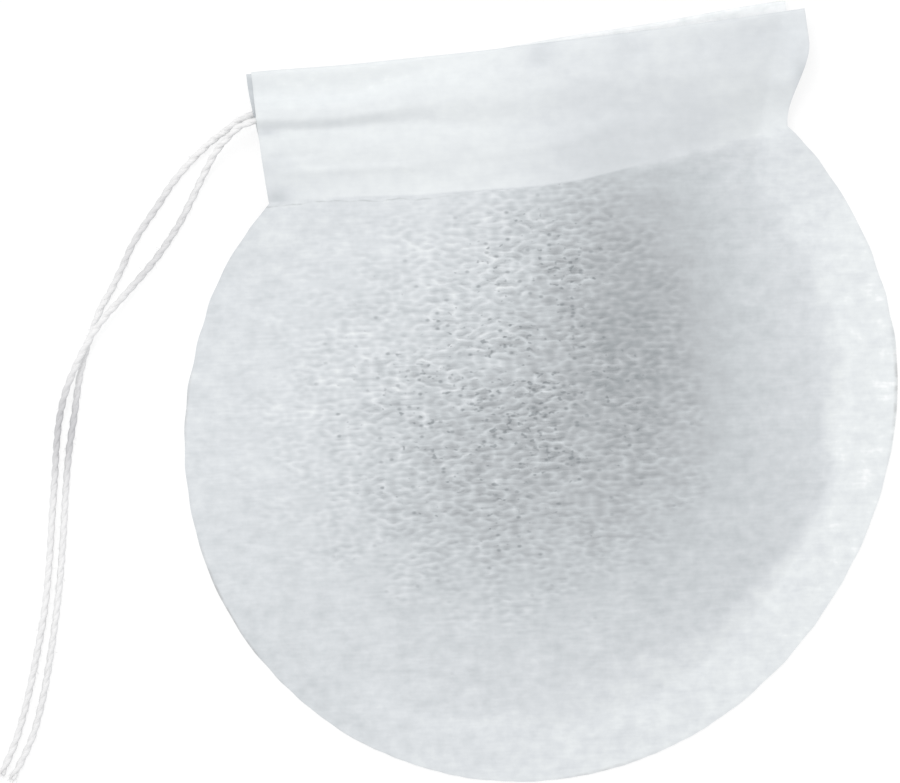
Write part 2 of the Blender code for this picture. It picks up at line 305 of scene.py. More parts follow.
# %% Sizes of the limp paper
FILTER_PAPER = 0.00012  # the real paper is about this thick
SEAL = 0.00002  # air left between the sheets in the heat seal
CREST_BELOW = 0.0001  # below the string's line the ridge falls steeply at the left
FOOT_BELOW = 0.0015
FOOT_SOFT = 0.0036  # and grows this much wider to the right
FOOT_SOFT_FROM = -0.0170
FOOT_SOFT_TO = 0.0060
LINE_LIFTS = [(-0.0075, 0.0080, 0.00095)]  # here the string lies off its line: X, reach, how far
PEEP_TOP = 0.0006  # how far the back hem shows beside the front one, at its top
PEEP_FROM = 0.45  # share of the hem's height where it begins to show
FLAP_HOLD = 0.0014  # the slanted cut of the flap starts this far below the fold
FRONT_DIPS = [(0.15, 0.13, 0.00030), (0.75, 0.22, 0.00022)]  # dips of the front fold
BACK_DIPS = [(0.36, 0.26, 0.00133), (0.74, 0.16, 0.00046)]  # dips of the back fold
LINE_DIPS = [(0.12, 0.10, -0.00040), (0.57, 0.17, 0.00085)]  # dips of the line where the hem begins
LEFT_BOW = 0.00014  # the hem's left end stands out this much at its middle

# %% [markdown]
# ## The bag's plan
#
# The round edge is a circle with three small changes: it is slightly oval, it bulges on the right,
# and it is drawn to the two neck corners where the hem begins. Every function here takes whole
# arrays, so that a fine sheet is worked out in one go.

# %% Round edge
def smooth(t):
    """Rises from 0 to 1 as t does, level at both ends."""
    t = np.clip(t, 0.0, 1.0)
    return t * t * (3 - 2 * t)


def bell(q):
    """A soft bump: 1 at 0, and nearly 0 beyond 2 on either side."""
    return np.exp(-q ** 2)


def mix(a, b, t):
    return a + (b - a) * t


def turn_between(angle, middle):
    """Angle measured from a middle one, between minus and plus half a turn."""
    return (angle - middle + math.pi) % math.tau - math.pi


def dips(x, spots):
    """Sum of soft bumps along a line. Each has a middle, a reach and an amount."""
    return 0 * x + sum(amount * bell((x - middle) / reach) for middle, reach, amount in spots)


def around(angle, spots):
    """The same round the edge, with middle and reach in degrees."""
    return sum(amount * bell(turn_between(angle, math.radians(middle)) / math.radians(reach))
               for middle, reach, amount in spots)


def ovals(x, y, spots):
    """Sum of soft oval spots. Each has a middle and a reach along X and Y, in mm, and an amount."""
    total = 0 * x
    for x0, y0, x_reach, y_reach, amount in spots:
        off = ((x - x0 / 1000) / (x_reach / 1000)) ** 2 + ((y - y0 / 1000) / (y_reach / 1000)) ** 2
        total = total + amount * np.exp(-off)
    return total


def oval_radius(angle):
    """Radius of the round edge before it is drawn to the neck corners."""
    bulge = BULGE * bell(turn_between(angle, BULGE_ANGLE) / BULGE_SPREAD)
    return BODY_RADIUS + OVAL * np.cos(2 * (angle - OVAL_ANGLE)) + bulge


def edge_radius(angle):
    """Radius of the round edge."""
    radius = oval_radius(angle)
    for corner in (NECK_LEFT, NECK_RIGHT):
        at = math.atan2(corner[1], corner[0])
        pull = math.hypot(*corner) - oval_radius(at)
        radius = radius + pull * bell(turn_between(angle, at) / NECK_SPREAD)
    return radius


def inside_round(x, y):
    """Distance in from the round edge."""
    return edge_radius(np.arctan2(y, x)) - np.hypot(x, y)


def edge_point(share, inset=0.0):
    """Point on the round edge: share 0 is the left neck corner and share 1 the right one."""
    start = math.atan2(NECK_LEFT[1], NECK_LEFT[0])
    end = math.atan2(NECK_RIGHT[1], NECK_RIGHT[0]) + math.tau
    angle = mix(start, end, share)
    radius = edge_radius(angle) - inset
    return radius * np.cos(angle), radius * np.sin(angle)


print("body across in mm:", round(2000 * float(oval_radius(0.0)), 1))

# %% Hollow between the sheets
ARC_STEPS = 120


def hollow_limits():
    """Left and right limits of the hollow, each from the bottom up, as (x, y) rows."""
    x, y = edge_point(np.arange(ARC_STEPS + 1) / ARC_STEPS, FLAT_EDGE)
    lowest = int(np.argmin(y))
    left = np.stack([x[:lowest + 1][::-1], y[:lowest + 1][::-1]], axis=1)
    right = np.stack([x[lowest:], y[lowest:]], axis=1)
    left_top = (NECK_LEFT[0] + MOUTH_EDGE, MOUTH_Y)
    right_top = (NECK_RIGHT[0] + FRONT_FLARE - MOUTH_EDGE, MOUTH_Y)
    return np.vstack([left, left_top]), np.vstack([right, right_top])


HOLLOW_LEFT, HOLLOW_RIGHT = hollow_limits()
HOLLOW_BOTTOM = HOLLOW_LEFT[0][1]


def puff(x, y):
    """Rise of the front sheet over the back one, which lies flat."""
    left = np.interp(y, HOLLOW_LEFT[:, 1], HOLLOW_LEFT[:, 0])
    right = np.interp(y, HOLLOW_RIGHT[:, 1], HOLLOW_RIGHT[:, 0])
    width = np.maximum(right - left, 1e-9)
    s = np.clip((2 * x - left - right) / width, -1.0, 1.0)
    s = s - PEAK_SHIFT * (1 - s * s)
    across = np.maximum(1 - s * s, 0.0)
    below = 1 - (np.minimum(y, 0.0) / HOLLOW_BOTTOM) ** 2
    above = mix(1.0, MOUTH_RISE / PUFF, smooth(y / MOUTH_Y))
    along = np.where(y < 0, np.maximum(below, 0.0), above)
    return np.where(y <= HOLLOW_BOTTOM, 0.0, PUFF * (across * along) ** PUFF_POWER)


print("rise over the middle in mm:", round(1000 * float(puff(np.array(0.008), np.array(0.0))), 2))


# %% [markdown]
# ## A sheet, from its round body to its folded flap
#
# One sheet is a grid of points. Its columns run from left to right. Its rows climb the round body,
# then the outer wall of the hem, turn over at the fold, and come back down the inside as the flap.
# The wall and the flap lie close together but for a ridge over the string and a small roll at the
# fold.

# %% Sheet
SIDE_SHARE = 0.30  # share of the round edge at each side of the grid


def share_across(x):
    return (x - NECK_LEFT[0]) / (NECK_RIGHT[0] - NECK_LEFT[0])


def hem_line_y(u, sag):
    return mix(NECK_LEFT[1], NECK_RIGHT[1], u) - sag * 4 * u * (1 - u)


def body_plan(u, v, line):
    """Plan points of the body: an even patch between the round edge and the hem line."""
    left = edge_point(mix(SIDE_SHARE, 0, v))
    right = edge_point(mix(1 - SIDE_SHARE, 1, v))
    bottom = edge_point(mix(SIDE_SHARE, 1 - SIDE_SHARE, u))
    top = (mix(NECK_LEFT[0], NECK_RIGHT[0], u), line)
    low_left = edge_point(SIDE_SHARE)
    low_right = edge_point(1 - SIDE_SHARE)
    plan = []
    for k in (0, 1):
        across = mix(left[k], right[k], u)
        along = mix(bottom[k], top[k], v)
        corners = mix(mix(low_left[k], low_right[k], u), mix(NECK_LEFT[k], NECK_RIGHT[k], u), v)
        plan.append(across + along - corners)
    return plan


def front_flap_top(x, y, above_line):
    """Top of the front flap, which climbs over the back hem and its string."""
    base = mix(AIR, TUNNEL_ROOM, smooth(above_line / BASE_RISE))
    return 3 * PAPER + base + AIR + puff(x, y)


class Sheet:
    """One sheet of paper: its round body, its wall up to the fold, and its flap back down."""

    def __init__(self, front):
        self.front = front
        self.sag = LINE_SAG if front else 0.0
        self.drop = FRONT_DROP if front else 0.0
        self.flare = FRONT_FLARE if front else BACK_FLARE
        self.peep = 0.0 if front else PEEP_TOP
        self.string_raise = 0.0 if front else BACK_STRING_RAISE
        self.dips = FRONT_DIPS if front else BACK_DIPS
        self.line_dips = LINE_DIPS if front else []
        self.fold_radius = (FOLD_ROOM + PAPER) / 2

    def left_end(self, t):
        peep = self.peep * smooth((t - PEEP_FROM) / (1 - PEEP_FROM))
        return NECK_LEFT[0] - peep - LEFT_BOW * 4 * t * (1 - t)

    def right_end(self, t):
        return NECK_RIGHT[0] + self.flare * smooth(t / FLARE_REACH)

    def line_y(self, u):
        """The line where the hem begins, as the limp paper lies."""
        return hem_line_y(u, self.sag) - dips(u, self.line_dips)

    def straight_fold_y(self, u):
        return MOUTH_Y - self.drop * smooth(u / DROP_REACH)

    def fold_y(self, u):
        """The fold as it lies, where the limp paper dips between its ends."""
        return self.straight_fold_y(u) - dips(u, self.dips)

    def fold_start(self, u):
        return self.fold_y(u) - self.fold_radius - PAPER / 2

    def share_up(self, u, y):
        line = self.line_y(u)
        return (y - line) / (self.fold_start(u) - line)

    def string_y(self, x):
        """Height of the string's line in this tunnel, at a place along the mouth."""
        wander = STRING_WANDER * np.cos(math.tau * (x - WANDER_CREST_X) / WANDER_LENGTH)
        straight = self.straight_fold_y(share_across(x))
        return straight - STRING_DEPTH - wander + self.string_raise + dips(x, LINE_LIFTS)

    def levels(self, x, u, y):
        """Middle heights of the wall and of the flap. The ridge is sharp at the left only."""
        soft = FOOT_SOFT * smooth((x - FOOT_SOFT_FROM) / (FOOT_SOFT_TO - FOOT_SOFT_FROM))
        off = y - self.string_y(x)
        above = smooth((RIDGE_FOOT + soft - off) / (RIDGE_FOOT + soft - RIDGE_TOP))
        below = smooth((FOOT_BELOW + soft + off) / (FOOT_BELOW + soft - CREST_BELOW))
        ridge = np.where(off > 0, above, below)
        fold = smooth(1 - (self.fold_start(u) - y) / FOLD_REACH)
        room = AIR + (TUNNEL_ROOM - AIR) * ridge + (FOLD_ROOM - AIR) * fold
        if not self.front:
            return PAPER / 2 + 0 * room, PAPER * 1.5 + room
        flap = front_flap_top(x, y, y - self.line_y(u)) - PAPER / 2
        return flap + PAPER + room, flap

    def body(self, u, v):
        """The round body. At its edge the front sheet comes down to the heat seal."""
        line = self.line_y(u)
        x, y = body_plan(u, v, line)
        if not self.front:
            return x, y, 0 * x + PAPER / 2
        high = self.levels(x, u, line)[0] - puff(x, line)
        climb = smooth(1 - (line - y) / NECK_RUN)
        sealed = PAPER / 2 + FILTER_PAPER + SEAL
        low = mix(sealed, PAPER * 1.5 + AIR, smooth(inside_round(x, y) / FLAT_EDGE))
        return x, y, mix(low, high, climb) + puff(x, y)

    def wall(self, u, t):
        y = mix(self.line_y(u), self.fold_start(u), t)
        x = mix(self.left_end(t), self.right_end(t), u)
        return x, y, self.levels(x, u, y)[0]

    def fold(self, u, turn):
        """Round the fold, from the wall at turn 0 to the flap at turn 1."""
        x = mix(self.left_end(1), self.right_end(1), u)
        start = self.fold_start(u)
        wall, flap = self.levels(x, u, start)
        y = start + self.fold_radius * np.sin(math.pi * turn)
        return x, y, (wall + flap) / 2 + (wall - flap) / 2 * np.cos(math.pi * turn)

    def flap(self, u, t):
        """The flap's right end is cut back, which leaves room for the string to turn."""
        y = mix(self.line_y(u) + FLAP_STOP, self.fold_start(u), t)
        up = self.share_up(u, y)
        slant = smooth((self.fold_start(u) - FLAP_HOLD - y) / FLAP_SLANT)
        cut = (TURN_INSET + TURN_LENGTH + STRING) * slant
        x = mix(self.left_end(up), self.right_end(up) - cut, u)
        return x, y, self.levels(x, u, y)[1]


FRONT = Sheet(front=True)
BACK = Sheet(front=False)

# %% [markdown]
# ## Where the string runs
#
# One cotton string runs along the back tunnel, turns inside the right-hand end, comes back along the
# front tunnel, and leaves the left-hand end as two free ends that lie on the surface. The plan
# points of the free ends are listed and follow the photograph. The front end passes over
# the back end once, in a low hump.

# %% String routes
BACK_END_ROUTE_MM = [
    (-28.5, 36.8), (-30.3, 35.8), (-32.2, 34.7), (-34.5, 33.0), (-36.9, 30.8), (-38.8, 28.6),
    (-40.7, 26.5), (-42.3, 24.5), (-43.6, 22.4), (-45.2, 20.0), (-46.7, 18.0), (-48.1, 15.3),
    (-49.3, 12.7), (-50.3, 9.8), (-51.1, 6.8), (-52.2, 3.0), (-53.2, -1.5), (-54.1, -6.2),
    (-55.3, -11.8), (-56.7, -17.2), (-58.4, -22.8), (-60.1, -27.2), (-61.7, -30.0), (-63.4, -32.4),
]
FRONT_END_ROUTE_MM = [
    (-28.5, 36.1), (-30.1, 35.0), (-31.7, 33.5), (-33.1, 31.6), (-34.7, 29.2), (-36.4, 26.7),
    (-38.3, 24.4), (-40.2, 22.4), (-42.2, 20.6), (-44.3, 18.8), (-46.4, 17.0), (-48.4, 14.8),
    (-50.1, 12.3), (-51.7, 9.5), (-52.8, 6.6), (-53.5, 3.8), (-54.2, 0.2), (-55.1, -4.2), (-56.0, -8.8),
    (-57.3, -14.3), (-58.9, -19.3), (-60.5, -23.8), (-62.4, -28.2), (-64.5, -31.7),
]
DROP_LENGTH = 0.009
LIE_CLEAR = 0.00005
CROSSING = (-0.0484, 0.0145)
CROSSING_HALF = 0.0052
CROSSING_RAMP = 0.0050
ROUTE_STEP = 0.0005
STEPS_BETWEEN_POINTS = 16
RUN_POINTS = 20
TURN_STEPS = 6


def length_along(points):
    """How far along a line each of its points lies."""
    return np.concatenate([[0], np.cumsum(np.linalg.norm(np.diff(points, axis=0), axis=1))])


def smooth_route(points):
    """Evenly spaced points on a smooth curve through the route's own points."""
    p = np.array(points, dtype=float)
    p = np.vstack([2 * p[0] - p[1], p, 2 * p[-1] - p[-2]])
    fine = []
    for k in range(1, len(p) - 2):
        for t in np.linspace(0, 1, STEPS_BETWEEN_POINTS, endpoint=False):
            fine.append(0.5 * (2 * p[k] + (p[k + 1] - p[k - 1]) * t
                               + (2 * p[k - 1] - 5 * p[k] + 4 * p[k + 1] - p[k + 2]) * t ** 2
                               + (3 * p[k] - p[k - 1] - 3 * p[k + 1] + p[k + 2]) * t ** 3))
    fine = np.array(fine + [p[-2]])
    along = length_along(fine)
    count = max(2, round(along[-1] / ROUTE_STEP))
    even = np.linspace(0, along[-1], count + 1)
    return np.stack([np.interp(even, along, fine[:, k]) for k in range(3)], axis=1)


def back_string_point(x):
    return np.array([x, BACK.string_y(x), PAPER + AIR + STRING / 2])


def front_string_point(x):
    y = FRONT.string_y(x)
    above_line = y - hem_line_y(share_across(x), FRONT.sag)
    return np.array([x, y, float(front_flap_top(x, y, above_line)) + AIR + STRING / 2])


def held_route():
    """The string inside the hem: along the back tunnel, round the turn, along the front one."""
    left = NECK_LEFT[0] - BACK_PEEP + JOIN_INSET
    turn_x = BACK.right_end(1) - TURN_INSET - STRING / 2 - TURN_LENGTH
    run = np.linspace(left, turn_x, RUN_POINTS)
    back_run = [back_string_point(x) for x in run]
    front_run = [front_string_point(x) for x in run[::-1]]
    turn = []
    for angle in np.linspace(-math.pi / 2, math.pi / 2, TURN_STEPS + 1)[1:-1]:
        middle = mix(back_run[-1], front_run[0], (1 + math.sin(angle)) / 2)
        turn.append(middle + np.array([TURN_LENGTH * math.cos(angle), 0, 0]))
    return back_run + turn + front_run


def free_route(first, plan, crosses):
    """A free end: out of the hem, down to the surface, and along it to the cut end."""
    lie = STRING / 2 + LIE_CLEAR
    start = np.array(first)
    start[0] -= AIR
    flat = np.vstack([start[:2], np.array(plan) / 1000])
    past_hem = np.linalg.norm(flat[1] - flat[0])
    height = mix(start[2], lie, smooth((length_along(flat) - past_hem) / DROP_LENGTH))
    if crosses:
        off = np.hypot(flat[:, 0] - CROSSING[0], flat[:, 1] - CROSSING[1])
        height = height + (STRING + AIR) * smooth((CROSSING_HALF + CROSSING_RAMP - off) / CROSSING_RAMP)
    return np.column_stack([flat, height])


def route_length(points):
    return float(np.linalg.norm(np.diff(points, axis=0), axis=1).sum())


held = held_route()
routes = {
    "hem_string": smooth_route(held),
    "back_string_end": smooth_route(free_route(held[0], BACK_END_ROUTE_MM, False)),
    "front_string_end": smooth_route(free_route(held[-1], FRONT_END_ROUTE_MM, True)),
}
for name, points in routes.items():
    print(name, "length in mm:", round(route_length(points) * 1000, 1))

# %% [markdown]
# ## Cotton string, as a twist of two plies
#
# Real string of this size is two soft cotton plies twisted round each other, with short loose
# fibres standing off it and a small brush where it is cut. All of that follows a path, so it is a
# job for Geometry Nodes. The tree doubles the route, winds the two copies round it as a helix,
# sweeps a circle along each, and scatters hairs over the result. Each size is a named input of the
# tree. It also stores, on every point, a direction that turns with the fibres, so that the cotton's
# pattern can follow the twist.

# %% Tree that twists a string
STRING_INPUTS = {
    "Ply radius": 0.00029,
    "Ply offset": 0.00011,  # less than the radius, because soft plies press together
    "Twist length": 0.0031,  # one full turn of the two plies
    "Fibre twist": -0.0017,  # the fibres in a ply turn the other way
    "Point spacing": 0.00022,
    "Hair length": 0.0007,
    "Hair radius": 0.000009,
    "Hairs per square metre": 2.4e6,
    "Brush hairs per square metre": 3.5e7,
    "Fray length": 0.0016,
    "Fray spread": 0.9,
    "Seed": 7,
    "Cotton": None,
}
SOCKET_KINDS = {float: "Float", int: "Int", type(None): "Material"}
PLY_SIDES = 10
FRAY_THINNING = -0.35
HAIR_BEND = 0.3  # as a share of the hair's length
SHORTEST_HAIR = 0.35
LOOSE_SWAY = 1.3  # how far the loose hairs turn off the string's way
BRUSH_SWAY = 0.5


def tree_with_inputs(name, inputs):
    """The nodes of a new Geometry Nodes tree, its inputs, and the identifiers of the named ones."""
    tree = bpy.data.node_groups.new(name, "GeometryNodeTree")
    tree.interface.new_socket("Geometry", in_out="INPUT", socket_type="NodeSocketGeometry")
    identifiers = {}
    for label, value in inputs.items():
        kind = "NodeSocket" + SOCKET_KINDS[type(value)]
        socket = tree.interface.new_socket(label, in_out="INPUT", socket_type=kind)
        if value is not None:
            socket.default_value = value
        identifiers[label] = socket.identifier
    tree.interface.new_socket("Geometry", in_out="OUTPUT", socket_type="NodeSocketGeometry")
    nodes = Nodes(tree)
    return nodes, nodes.add("NodeGroupInput").outputs, identifiers


def circle(nodes, sides, radius):
    return nodes.add("GeometryNodeCurvePrimitiveCircle", {"Resolution": sides, "Radius": radius})


def hair_mesh(nodes, size):
    """One short bent hair, three-sided, that instances are made of."""
    length = size["Hair length"]
    middle = nodes.joined(0.0, 0.0, nodes.maths("MULTIPLY", length, 0.5))
    tip = nodes.joined(nodes.maths("MULTIPLY", length, HAIR_BEND), 0.0, length)
    line = nodes.add("GeometryNodeCurveQuadraticBezier",
                     {"Resolution": 4, "Start": (0, 0, 0), "Middle": middle, "End": tip})
    ring = circle(nodes, 3, size["Hair radius"])
    return nodes.add("GeometryNodeCurveToMesh", {"Curve": line, "Profile Curve": ring, "Fill Caps": True})


def twist_tree():
    nodes, size, identifiers = tree_with_inputs("twisted string", STRING_INPUTS)
    add, maths = nodes.add, nodes.maths

    # The route, evenly divided, with its length and direction kept on each point.
    kept = add("GeometryNodeResampleCurve",
               {"Curve": size["Geometry"], "Length": size["Point spacing"]}, mode="LENGTH")
    place = add("GeometryNodeSplineParameter").outputs
    ahead = add("GeometryNodeInputTangent")
    kept = nodes.stored(kept, "along", place["Length"])
    kept = nodes.stored(kept, "ahead", ahead, "FLOAT_VECTOR")

    # How far a point lies into the frayed end, from 0 to 1.
    total = add("GeometryNodeSplineLength").outputs["Length"]
    fray = nodes.ranged(place["Length"], maths("SUBTRACT", total, size["Fray length"]), total)
    kept = nodes.stored(kept, "fray", fray)

    # Two copies, wound round the route half a turn apart.
    copies = add("GeometryNodeDuplicateElements", {"Geometry": kept, "Amount": 2}, domain="SPLINE").outputs
    turns = maths("DIVIDE", place["Length"], size["Twist length"])
    angle = maths("MULTIPLY_ADD", copies["Duplicate Index"], math.pi, maths("MULTIPLY", turns, math.tau))
    spread = maths("MULTIPLY_ADD", fray, size["Fray spread"], 1.0)
    reach = maths("MULTIPLY", spread, size["Ply offset"])
    normal = add("GeometryNodeInputNormal").outputs["Normal"]
    across = nodes.vector("CROSS_PRODUCT", ahead, normal)
    parts = [nodes.vector("SCALE", axis, scale=maths("MULTIPLY", maths(way, angle), reach))
             for way, axis in (("COSINE", normal), ("SINE", across))]
    wound = add("GeometryNodeSetPosition",
                {"Geometry": copies["Geometry"], "Offset": nodes.vector("ADD", *parts)})

    # A circle swept along each copy.
    ring = nodes.stored(circle(nodes, PLY_SIDES, size["Ply radius"]), "around", place["Factor"])
    thin = maths("MULTIPLY_ADD", fray, FRAY_THINNING, 1.0)
    plies = add("GeometryNodeCurveToMesh",
                {"Curve": wound, "Profile Curve": ring, "Scale": thin, "Fill Caps": True})

    # A direction that turns with the fibres, for the cotton's pattern.
    along = nodes.read("along")
    turn = maths("ADD", maths("DIVIDE", along, size["Fibre twist"]), nodes.read("around"))
    turn = maths("MULTIPLY", turn, math.tau)
    fibre_way = nodes.joined(maths("COSINE", turn), maths("SINE", turn), along)
    plies = nodes.stored(plies, "fibre_way", fibre_way, "FLOAT_VECTOR")
    plies = add("GeometryNodeSetShadeSmooth", {"Geometry": plies})

    # Loose hairs all over, and a denser brush at the cut end.
    hair = hair_mesh(nodes, size)
    forward = nodes.read("ahead", "FLOAT_VECTOR")
    brush = maths("MULTIPLY", nodes.read("fray"), size["Brush hairs per square metre"])
    pieces = [plies]
    loose = size["Hairs per square metre"]
    for scatter, sway, step in ((loose, LOOSE_SWAY, 1.0), (brush, BRUSH_SWAY, 2.0)):
        seed = maths("ADD", size["Seed"], step)
        spots = add("GeometryNodeDistributePointsOnFaces",
                    {"Mesh": plies, "Density": scatter, "Seed": seed})
        stray = add("FunctionNodeRandomValue", {"Min": (-sway,) * 3, "Max": (sway,) * 3,
                                                "Seed": seed}, data_type="FLOAT_VECTOR")
        aim = nodes.vector("ADD", forward, stray)
        turned = add("FunctionNodeAlignRotationToVector", {"Vector": aim}, axis="Z")
        long = add("FunctionNodeRandomValue", {"Min_001": SHORTEST_HAIR, "Max_001": 1.0,
                                               "Seed": seed}, data_type="FLOAT").outputs[1]
        pieces.append(add("GeometryNodeInstanceOnPoints",
                          {"Points": spots, "Instance": hair, "Rotation": turned, "Scale": long}))
    whole = add("GeometryNodeJoinGeometry", {"Geometry": pieces})
    whole = add("GeometryNodeRealizeInstances", {"Geometry": whole})

    # Hairs that point down are bent along the surface that the string lies on.
    point = add("GeometryNodeInputPosition")
    point = add("ShaderNodeSeparateXYZ", {"Vector": point}).outputs
    above = nodes.joined(point["X"], point["Y"], maths("MAXIMUM", point["Z"], size["Hair radius"]))
    whole = add("GeometryNodeSetPosition", {"Geometry": whole, "Position": above})
    whole = add("GeometryNodeSetMaterial", {"Geometry": whole, "Material": size["Cotton"]})
    add("NodeGroupOutput", {"Geometry": whole})
    return nodes.tree, identifiers


string_tree, string_inputs = twist_tree()
print("string tree:", len(string_tree.nodes), "nodes")

# %% [markdown]
# ## Cotton
#
# The string is bleached cotton, spun and twisted, with no dye and no wax. It gives the eye a matt
# white with fine darker lines between the fibres. The lines read the direction that the tree
# stored, so they wind with each ply. A few stretches are greyed with painted shade, most where the
# two free ends lie close together, and each point keeps how much.

# %% Cotton material
COTTON_LIGHT = "#F7F7F7"
COTTON_SHADE = "#E8E8E8"
COTTON_LINES_PER_TURN = 5.0  # noise cells round one ply
COTTON_LINE_LENGTH = 0.0012  # how far one fibre can be followed along the ply
COTTON_LINE_RANGE = (0.30, 0.62)  # noise that gives the shade, and noise that gives the light tone
COTTON_RELIEF = 0.00005
COTTON_RELIEF_SHARE = 0.3
COTTON_ROUGHNESS = 0.85
COTTON_SHINE = 0.25
PAINTED_STRING_SHADE_COLOUR = "#BDBDC0"
PAINTED_STRING_SHADE_SPOTS = [  # painted shade on stretches of string: middle and reach in mm, and how much
    (-37.6, 27.8, 3.4, 4.0, 0.32), (-41.2, 22.8, 4.2, 5.0, 0.38), (-52.2, 5.2, 6.0, 5.5, 0.72),
    (-60.0, -23.5, 6.0, 9.0, 0.11),
]


def principled(nodes, colour, bump, roughness, specular):
    """Fills the material's shader."""
    nodes.fill(nodes.tree.nodes["Principled BSDF"], {"Base Color": colour, "Normal": bump,
               "Roughness": roughness, "Specular IOR Level": specular})


def cotton_material():
    material = bpy.data.materials.new("bleached cotton, twisted")
    nodes = nodes_of(material)
    way = nodes.add("ShaderNodeAttribute", attribute_name="fibre_way").outputs["Vector"]
    scale = (COTTON_LINES_PER_TURN / 2, COTTON_LINES_PER_TURN / 2, 1 / COTTON_LINE_LENGTH)
    laid = nodes.add("ShaderNodeMapping", {"Vector": way, "Scale": scale})
    lines = nodes.add("ShaderNodeTexNoise", {"Vector": laid, "Scale": 1.0, "Detail": 3.0, "Roughness": 0.6})
    tone = nodes.ranged(lines, *COTTON_LINE_RANGE, way="LINEAR")
    colour = nodes.mixed(tone, COTTON_SHADE, COTTON_LIGHT)
    # Painted shade greys some stretches of the string.
    handled = nodes.add("ShaderNodeAttribute", attribute_name="handled").outputs["Fac"]
    colour = nodes.mixed(handled, colour, PAINTED_STRING_SHADE_COLOUR)
    bump = nodes.add("ShaderNodeBump", {"Strength": COTTON_RELIEF_SHARE, "Distance": COTTON_RELIEF,
                                         "Height": lines})
    principled(nodes, colour, bump, COTTON_ROUGHNESS, COTTON_SHINE)
    return material


cotton = cotton_material()

# %% Strings, baked from the tree
FIRST_SEED = 11


def route_curve(name, points):
    curve = bpy.data.curves.new(name, "CURVE")
    curve.dimensions = "3D"
    spline = curve.splines.new("POLY")
    spline.points.add(len(points) - 1)
    for target, point in zip(spline.points, points):
        target.co = (*point, 1.0)
    return curve


def twisted(name, points, values):
    """A string along a route, from the tree with some of its inputs set."""
    def grow(modifier):
        modifier.node_group = string_tree
        for label, value in values.items():
            modifier[string_inputs[label]] = value
    item = baked(name, route_curve(name, points), "NODES", grow)
    place = np.empty(3 * len(item.data.vertices), dtype=np.float32)
    item.data.vertices.foreach_get("co", place)
    # painted shade on the string, kept on each point
    keep(item.data, "handled", ovals(place[0::3], place[1::3], PAINTED_STRING_SHADE_SPOTS))
    return item


strings = {}
for seed, (name, points) in enumerate(routes.items()):
    values = {"Seed": FIRST_SEED + seed, "Cotton": cotton}
    if name == "hem_string":  # both its ends are hidden in the hem, uncut
        values |= {"Fray spread": 0.0, "Brush hairs per square metre": 0.0}
    strings[name] = twisted(name, points, values)
    print(name, len(strings[name].data.polygons), "faces")

# %% [markdown]
# ## Relief of the paper
#
# Thin paper is never quite flat. Long soft cockles come from damp and handling, and the hem shows
# creases where it was bent and where the flap ends inside. The cockles are a sum of a few waves in
# random directions, from a fixed seed. The same kind of wave, and a few wider wanders, move the cut
# edge in and out a little. Each crease is a short line with a height and a width.

# %% Cockles, creases and the cut
WAVE_SEED = 5
BROAD_WAVES = (10, 0.009, 0.022, 0.00010)  # how many, shortest, longest, and height of the sum
FINE_WAVES = (14, 0.0022, 0.0060, 0.000028)
EDGE_WAVES = (9, 0.0012, 0.0060, 0.000045)
CUT_REACH = 0.001  # how far in from the cut its ripples are felt
EDGE_WANDERS = [  # where the cut runs off the smooth line: angle, reach, how far
    (-199, 6, -0.00015), (-141, 10, -0.00014), (-122, 12, -0.00015),
    (-70, 14, 0.00014), (-38, 8, -0.00010), (0, 10, 0.00014),
]
CREASES = [  # from, to, height, half width
    ((-0.0262, 0.0306), (-0.0070, 0.0288), 0.00016, 0.00045),
    ((-0.0268, 0.0322), (-0.0190, 0.0318), -0.00010, 0.00040),
    ((-0.0060, 0.0290), (0.0120, 0.0296), 0.00007, 0.00050),
    ((0.0040, 0.0412), (0.0058, 0.0374), -0.00022, 0.00110),
    ((0.0153, 0.0410), (0.0164, 0.0372), -0.00024, 0.00070),
    ((0.0228, 0.0411), (0.0238, 0.0366), -0.00016, 0.00080),
    ((0.0336, 0.0392), (0.0322, 0.0330), -0.00018, 0.00070),
]
CREASE_FADE = 0.2  # share of a crease at each end where it fades
SEALED_RELIEF = 0.25  # share of the cockles that the sealed edge keeps
random = np.random.default_rng(WAVE_SEED)


def waves(kind):
    """A smooth bumpy function of the plan, from -1 to 1 times its height."""
    count, shortest, longest, height = kind
    length = random.uniform(shortest, longest, count)
    angle = random.uniform(0, math.pi, count)
    phase = random.uniform(0, math.tau, count)

    def at(x, y):
        total = 0 * x
        for size, way, start in zip(length, angle, phase):
            total = total + np.sin(math.tau * (x * np.cos(way) + y * np.sin(way)) / size + start)
        return height * total / math.sqrt(count)
    return at


broad_wave, fine_wave, edge_wave = waves(BROAD_WAVES), waves(FINE_WAVES), waves(EDGE_WAVES)


def crease_height(x, y):
    total = 0 * x
    for (x0, y0), (x1, y1), height, half in CREASES:
        dx, dy = x1 - x0, y1 - y0
        share = ((x - x0) * dx + (y - y0) * dy) / (dx * dx + dy * dy)
        off = np.hypot(x - x0 - np.clip(share, 0, 1) * dx, y - y0 - np.clip(share, 0, 1) * dy)
        fade = smooth(share / CREASE_FADE) * smooth((1 - share) / CREASE_FADE)
        total = total + height * fade * bell(off / half)
    return total


def relief(sheet, x, y):
    """What the fine surface adds to the level of the sheet. The sealed edge stays nearly flat."""
    if not sheet.front:
        return 0 * x  # it lies flat on the surface
    loose = np.where(y > NECK_LEFT[1], 1.0, smooth(inside_round(x, y) / FLAT_EDGE))
    return (broad_wave(x, y) + fine_wave(x, y)) * mix(SEALED_RELIEF, 1.0, loose) + crease_height(x, y)


def rippled_edge(x, y, on_body):
    """Moves the cut round edge in and out a little, as scissors or a die leave it."""
    near = np.where(on_body, smooth(1 - inside_round(x, y) / CUT_REACH), 0)
    far = edge_wave(x, y) + around(np.arctan2(y, x), EDGE_WANDERS)
    step = near * far / np.maximum(np.hypot(x, y), 1e-6)
    return x * (1 + step), y * (1 + step)
